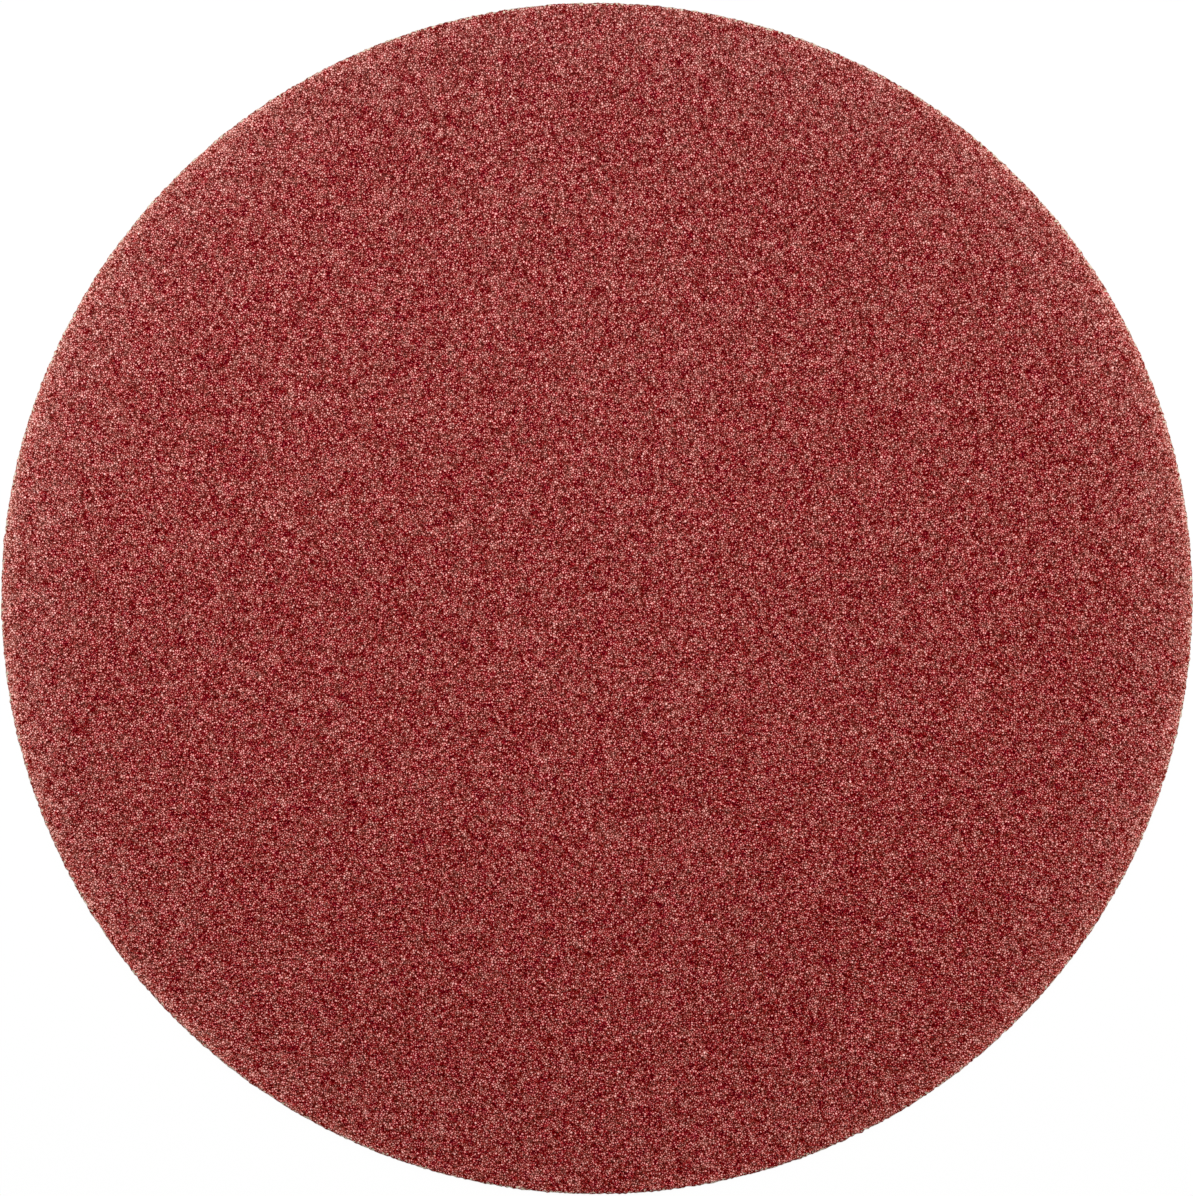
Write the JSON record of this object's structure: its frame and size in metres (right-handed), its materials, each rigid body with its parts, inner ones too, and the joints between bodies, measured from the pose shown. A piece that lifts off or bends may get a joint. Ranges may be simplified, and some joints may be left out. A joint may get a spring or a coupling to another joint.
{
  "type": "sanding disc",
  "caption": "Round paper-backed sanding disc without holes, coated with deep red abrasive grit on its upper face.",
  "frame": {"origin": "centre of the flat paper back, at the bottom of the disc", "axes": "+Z from the paper back out through the grit, along the disc's axis; +X to the right and +Y up in the picture"},
  "size_m": [0.15, 0.15, 0.0009],
  "materials": {
    "red_grit": "matte",
    "backing_paper": "matte"
  },
  "bodies": {
    "root": {"sanding_disc": "red_grit"}
  },
  "joints": []
}
